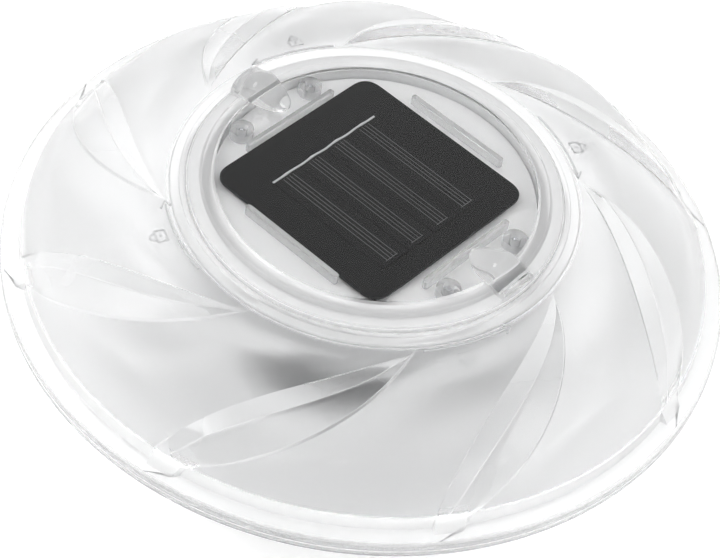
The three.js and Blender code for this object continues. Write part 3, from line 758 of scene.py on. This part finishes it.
def module_housing():
    inside = CUP_R - CUP_WALL
    flange_top = CUP_FLANGE_Z + 2
    profile = fillet(
        [(0, CUP_Z), (CUP_R, CUP_Z), (CUP_R, CUP_FLANGE_Z), (CUP_FLANGE_R, CUP_FLANGE_Z),
         (CUP_FLANGE_R, flange_top), (inside, flange_top), (inside, CUP_INSIDE_Z), (0, CUP_INSIDE_Z)],
        [0, 1.6, 0.5, 0.4, 0.4, 0.4, 1, 0],
        5,
    )
    housing = lathe("module_housing_fine", profile)
    shelf = cylinder("shelf", CUP_R - 0.5, CUP_FLANGE_Z, flange_top, 0, 0, ROUND)
    mouth = block("mouth", -CUP_MOUTH, CUP_MOUTH, -CUP_MOUTH, CUP_MOUTH, CUP_FLANGE_Z - 1, flange_top + 1, 1)
    combine(shelf, [mouth], "DIFFERENCE")
    y0, y1 = BAY_Y - BAY_WIDTH / 2, BAY_Y + BAY_WIDTH / 2
    out, floor_z = BAY_HALF + BAY_WALL, CUP_INSIDE_Z - 0.5
    parts = [shelf, block("walls", -out, out, y0 - BAY_WALL, y1 + BAY_WALL, floor_z, BAY_TOP + BAY_WALL, 0.6)]
    parts.append(cylinder("door_post", 2.4, floor_z, CUP_Z + 8.6, TAB_X + 0.4, BAY_Y))
    screw_x, screw_y = BOARD_SCREW
    for i in (1, -1):
        parts.append(cylinder("board_post", 2, floor_z, BOARD_Z - GAP, i * screw_x, screw_y))
    holes = [block("bay", -BAY_HALF, BAY_HALF, y0, y1, CUP_Z - 1, BAY_TOP)]
    for i in (1, -1):
        roof = (BAY_TOP - 1, BAY_TOP + BAY_WALL + 1)
        holes.append(block("roof_end", i * 22, i * (BAY_HALF + 0.01), y0, y1, *roof))
        holes.append(cylinder("board_hole", PILOT_R, CUP_Z + 4.6, BOARD_Z, i * screw_x, screw_y, 20))
    holes.append(slab("recess", door_outline(GAP), CUP_Z - 1, CUP_Z + 1.5))
    holes.append(cylinder("door_hole", PILOT_R, CUP_Z, CUP_Z + 7.1, TAB_X, BAY_Y, 20))
    holes.append(cylinder("button_hole", 4.3, CUP_Z - 1, CUP_INSIDE_Z + 1, 0, BUTTON_Y, 40))
    holes += [cylinder("screw_hole", 1.6, 53, 58, i * BOSS_X, j * BOSS_Y, 24) for i, j in CORNERS]
    combine(housing, parts, "UNION")
    combine(housing, holes, "DIFFERENCE")
    level(housing)
    # Near-white above a line just under the flange, near-black below it: painted shade on the lower cup.
    for face in housing.data.polygons:
        face.material_index = 0 if face.center.z > (CUP_FLANGE_Z - 3) * MM else 1
    stands_for(housing, "module_housing", "light_module", "housing", HOUSING, CUP_SHADE)


def screw(name, node, body, r, head_r, head_h, length, place, turn=None):
    """Pan-head screw pointing up, with a cross recess in its head."""
    profile = fillet(
        [(0, 0), (head_r, 0), (head_r, head_h), (r, head_h), (r, length - 0.8), (r * 0.4, length),
         (0, length)],
        [0, 0.6, 0.1, 0.15, 0.2, 0.1, 0],
    )
    made = lathe(name, profile, 32)
    arm, half = head_r * 0.55, head_r * 0.13
    depth = (-0.5, head_h * 0.55)
    slots = [block("slot", -arm, arm, -half, half, *depth), block("slot", -half, half, -arm, arm, *depth)]
    combine(made, slots, "DIFFERENCE")
    moved(made, *place, turn)
    stands_for(made, node, body, "screw_steel", STEEL)


def screws():
    for k, (i, j) in enumerate(CORNERS, 1):
        place = (i * BOSS_X, j * BOSS_Y, CUP_FLANGE_Z - GAP - 1.6)
        screw(f"housing_screw_{k}_fine", f"housing_screw_{k}", "light_module", 1.05, 2.3, 1.6, 6.9, place)
    for k, i in enumerate((1, -1), 1):
        place = (i * BOARD_SCREW[0], BOARD_SCREW[1], BOARD_TOP + 1.35)
        name = f"board_screw_{k}"
        screw(f"{name}_fine", name, "light_module", 0.95, 2, 1.3, 6, place, UPSIDE_DOWN)
    screw("door_screw_fine", "door_screw", "door", 0.95, 1.9, 0.8, 6, (TAB_X, BAY_Y, CUP_Z - 0.4))


# ---- circuit board and switch -----------------------------------------------------------------------


def circuit_board():
    board = block("main_board_fine", -21, 21, 2.5, 21.5, BOARD_Z, BOARD_Z + 1.6, 1.5)
    x, y = BOARD_SCREW
    holes = [cylinder("hole", 1.3, BOARD_Z - 1, BOARD_Z + 3, i * x, y) for i in (1, -1)]
    combine(board, holes, "DIFFERENCE")
    stands_for(board, "main_board", "light_module", "circuit_board", BOARD)
    z = BOARD_TOP
    chip = block("driver_chip_fine", -9, -4, 9.2, 12.8, z + 0.1, z + 1.5, 0.1, 0.12)
    legs = [block("leg", x - 0.2, x + 0.2, y0, y0 + 0.5, z, z + 0.5, 0.05)
            for x in (-8.2, -7.0, -5.9, -4.8) for y0 in (8.75, 12.75)]
    stands_for(chip, "driver_chip", "light_module", "black_plastic", BLACK)
    dress(merged("driver_chip_legs", legs), "light_module", "black_plastic", SOLDER)
    spool = fillet(
        [(0, 0), (3.4, 0), (3.4, 1), (2.3, 1), (2.3, 4), (3.4, 4), (3.4, 5), (0, 5)],
        [0, 0.3, 0.3, 0, 0, 0.3, 0.3, 0],
    )
    core = lathe("inductor_core", spool, 48)
    dress(moved(core, *INDUCTOR, z), "light_module", "black_plastic", BLACK)
    turns = [(2.6 + 0.06 * (k % 2), 1.1 + 0.35 * k) for k in range(9)]
    wound = [(2.2, 1.05)]
    for r, height in turns:
        wound += [(r, height), (r + 0.15, height + 0.1), (r, height + 0.24)]
    wound.append((2.2, 3.98))
    winding = moved(lathe("inductor_fine", wound, 48), *INDUCTOR, z)
    stands_for(winding, "inductor", "light_module", "copper", COPPER)
    for k, (x, y) in enumerate(LEDS, 1):
        angles = [math.radians(7.5 * i) for i in range(13)]
        dome = [(2.5 * math.sin(a), -4 - 2.5 * math.cos(a)) for a in angles]
        base = fillet([(2.5, -1), (2.9, -1), (2.9, 0)], [0.1, 0.15, 0.1])
        lens = lathe(f"led_{k}_fine", dome + base + [(0, 0)], 40)
        stands_for(moved(lens, x, y, BOARD_Z - 0.05), f"led_{k}", "light_module", "led_lens", LED_RESIN)


def power_switch():
    half = 3.5
    sides = (-half, half, BUTTON_Y - half, BUTTON_Y + half)
    body = block("power_switch_fine", *sides, SWITCH_BOTTOM, BOARD_Z - 0.05, 0.4, 0.2)
    bore = cylinder("bore", 1.8, SWITCH_BOTTOM - 1, SWITCH_BOTTOM + 3.5, 0, BUTTON_Y)
    combine(body, [bore], "DIFFERENCE")
    stands_for(body, "power_switch", "light_module", "black_plastic", BLACK)
    stop = CUP_INSIDE_Z + GAP
    low, high = stop + 0.65, SWITCH_BOTTOM + 1.5
    rod = fillet([(0, low), (1.5, low), (1.5, high), (0, high)], [0, 0.2, 0.3, 0])
    plunger = lathe("switch_plunger_fine", rod, 32)
    stands_for(moved(plunger, 0, BUTTON_Y, 0), "switch_plunger", "button", "white_plastic", WHITE)
    face = CUP_Z - 1.2
    rim = stop + 0.6
    profile = fillet(
        [(0, face + 0.3), (2.6, face), (4, face), (4, stop), (5.5, stop), (5.5, rim), (0, rim)],
        [0, 0.8, 0.7, 0.2, 0.2, 0.2, 0],
    )
    button = lathe("power_button_fine", profile, 64)
    stands_for(moved(button, 0, BUTTON_Y, 0), "power_button", "button", "white_plastic", WHITE)
    spring = tube("button_spring_fine", coil(CUP_INSIDE_Z + 1.3, SWITCH_BOTTOM - 0.4, 2.6, 2.6, 3), 0.2)
    stands_for(moved(spring, 0, BUTTON_Y, 0), "button_spring", "light_module", "nickel", NICKEL)
    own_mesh(spring)


def coil(z0, z1, r0, r1, turns):
    count = turns * 28
    points = []
    for i in range(count + 1):
        a, t = 2 * math.pi * i / 28, i / count
        r = r0 + (r1 - r0) * t
        points.append((r * math.cos(a), r * math.sin(a), z0 + (z1 - z0) * t))
    return points


# ---- battery bay ------------------------------------------------------------------------------------


def battery():
    z = CELL_AXIS_Z
    can = [(0, -19.9), (4.9, -19.9), (5.0, -19.5), (5.05, -19.3), (5.25, -19.2), (5.25, 23.2), (4.8, 23.5),
           (4.4, 23.7), (1.8, 23.8), (1.8, 24.6), (0, 24.6)]
    cell = lathe("battery_cell_fine", fillet(can, [0, 0.4, 0, 0, 0.1, 0.4, 0.2, 0.1, 0.1, 0.25, 0]), 64)
    for face in cell.data.polygons:
        face.material_index = 1 if face.center.z < -19.25 * MM or face.center.z > 23.45 * MM else 0
    moved(cell, 0, BAY_Y, z, ALONG_X)
    stands_for(cell, "battery_cell", "light_module", "battery_sleeve", SLEEVE, STEEL)
    for name, x in (("negative_contact", -25.3), ("positive_contact", 24.9)):
        plate = block(f"{name}_fine", x, x + 0.4, BAY_Y - 4.5, BAY_Y + 4.5, *CONTACT_Z[:2], 0.08)
        height = (CONTACT_Z[1] - 0.5, CONTACT_Z[2])
        tab = block("tab", x, x + 0.4, BAY_Y - 1.5, BAY_Y + 1.5, *height, 0.08)
        combine(plate, [tab], "UNION")
        stands_for(plate, name, "light_module", "nickel", NICKEL)
    spring = moved(tube("contact_spring_fine", coil(-24.5, -20.6, 3.8, 2.4, 3), 0.3), 0, BAY_Y, z, ALONG_X)
    stands_for(spring, "contact_spring", "light_module", "nickel", NICKEL)


def battery_door():
    door = slab("battery_door_fine", door_outline(0), CUP_Z, CUP_Z + 1.2)
    ribs = [
        block("rib", x - 0.6, x + 0.6, BAY_Y - 4, BAY_Y + 4, CUP_Z + 1, CUP_INSIDE_Z - 0.2)
        for x in (-14, 0, 14)
    ]
    cuts = [
        cylinder("countersink", 2.2, CUP_Z - 1, CUP_Z + 0.6, TAB_X, BAY_Y),
        cylinder("hole", PILOT_R, CUP_Z - 1, CUP_Z + 3, TAB_X, BAY_Y),
    ]
    for x in (-24, -22.4, -20.8):
        cuts.append(block("groove", x - 0.35, x + 0.35, BAY_Y - 3.5, BAY_Y + 3.5, CUP_Z - 0.4, CUP_Z + 0.3))
    combine(door, ribs, "UNION")
    combine(door, cuts, "DIFFERENCE")
    stands_for(door, "battery_door", "door", "door", CUP_SHADE)


def spline(points, steps=10):
    """A smooth run of points through a few."""
    vectors = [Vector(p) for p in points]
    ends = [vectors[0] * 2 - vectors[1], *vectors, vectors[-1] * 2 - vectors[-2]]
    run = []
    for a, b, c, d in zip(ends, ends[1:], ends[2:], ends[3:]):
        for k in range(steps):
            t = k / steps
            bent = (a * 2 - b * 5 + c * 4 - d) * t**2 + (b * 3 - a - c * 3 + d) * t**3
            run.append((b * 2 + (c - a) * t + bent) / 2)
    return run + [vectors[-1]]


def wires():
    back, solder, tab = PANEL_Z - GAP, BOARD_TOP + GAP, CONTACT_Z[2] + GAP
    bend = tab + 2.5
    runs = {
        "panel_lead_red": [(8, 2, back), (8, 3, 48), (13, 6, 38), (14, 9, 31), (14, 9, solder)],
        "panel_lead_black": [(-8, 2, back), (-8, 3, 47), (-12, 6, 39), (-14, 9, 32), (-14, 9, solder)],
        "battery_lead_red": [
            (25.1, BAY_Y, tab), (25.5, -7, bend), (23, 0, bend), (19, 5, bend - 4), (18, 6, solder)],
        "battery_lead_black": [
            (-25.1, BAY_Y, tab), (-25.5, -7, bend), (-23, 0, bend + 0.5), (-19, 5, bend - 4),
            (-18, 6, solder)],
    }
    for name, points in runs.items():
        made, slot = (RED, "red_wire") if name.endswith("red") else (DARK, "black_wire")
        stands_for(tube(f"{name}_fine", spline(points), LEAD_R, 16), name, "light_module", slot, made)
    joints = [(side * x, y) for x, y in (PANEL_JOINT, BATTERY_JOINT) for side in (1, -1)]
    drop = [(0, 0), (1.3, 0), (1.1, 0.3), (0.8, 0.55), (0.7, 0.9), (0, 1.0)]
    for number, (x, y) in enumerate(joints, 1):
        blob = lathe(f"solder_joint_{number}", drop, 24)
        dress(moved(blob, x, y, BOARD_TOP), "light_module", "circuit_board", SOLDER)


# ---- camera, floor and lights -----------------------------------------------------------------------

AZIMUTH, ELEVATION, ROLL = 36.35, 46.97, 9.6
CAMERA_DISTANCE = 550
CAMERA_LENS = 110.2


def direction(azimuth, elevation):
    a, e = math.radians(azimuth), math.radians(elevation)
    return Vector((math.sin(a) * math.cos(e), -math.cos(a) * math.cos(e), math.sin(e)))


def camera():
    data = bpy.data.cameras.new("camera")
    data.lens = CAMERA_LENS
    data.sensor_width = 36
    data.shift_x = -0.0069
    data.shift_y = -0.0359
    data.clip_end = 50
    holder = bpy.data.objects.new("camera", data)
    bpy.context.scene.collection.objects.link(holder)
    target = Vector((0, 0, SEAM_Z * MM))
    back = direction(AZIMUTH, ELEVATION)
    holder.location = target + back * CAMERA_DISTANCE * MM
    look = (-back).to_track_quat("-Z", "Y").to_matrix().to_4x4()
    roll = Matrix.Rotation(math.radians(ROLL), 4, "Z")
    holder.matrix_world = Matrix.Translation(holder.location) @ look @ roll
    bpy.context.scene.camera = holder


def floor():
    size = 4
    mesh = bpy.data.meshes.new("floor")
    corners = [(-size, -size, 0), (size, -size, 0), (size, size, 0), (-size, size, 0)]
    mesh.from_pydata(corners, [], [(0, 1, 2, 3)])
    plane = bpy.data.objects.new("floor", mesh)
    bpy.context.scene.collection.objects.link(plane)
    glow = {"Emission_Color": (1, 1, 1, 1), "Emission_Strength": 0.34}
    made, _, _ = material("floor_white", (0.95, 0.95, 0.95), 0.9, **glow)
    mesh.materials.append(made)


def soft_light(name, azimuth, elevation, distance, size, power):
    data = bpy.data.lights.new(name, "AREA")
    data.shape = "DISK"
    data.size = size
    data.energy = power
    lamp = bpy.data.objects.new(name, data)
    bpy.context.scene.collection.objects.link(lamp)
    towards = direction(azimuth, elevation)
    lamp.location = towards * distance
    lamp.rotation_euler = (-towards).to_track_quat("-Z", "Y").to_euler()


def lights():
    world = bpy.data.worlds.new("studio")
    bpy.context.scene.world = world
    world.use_nodes = True
    world.node_tree.nodes["Background"].inputs["Color"].default_value = (1, 1, 1, 1)
    world.node_tree.nodes["Background"].inputs["Strength"].default_value = 0.66
    soft_light("key", AZIMUTH - 75, 50, 1.2, 0.5, 6.6)
    soft_light("fill", AZIMUTH + 75, 45, 1.4, 0.6, 6)


camera()
floor()
lights()
bpy.context.scene.view_settings.view_transform = "Standard"
finish_nodes()
upper_shell()
for number, middle in enumerate((-22.5, 67.5, 157.5, 247.5)):
    lock_mark(number + 1, middle, 1 if number % 2 == 0 else -1)
lower_shell()
top_cap()
cap_seal()
solar_panel()
module_housing()
screws()
circuit_board()
power_switch()
battery()
battery_door()
wires()
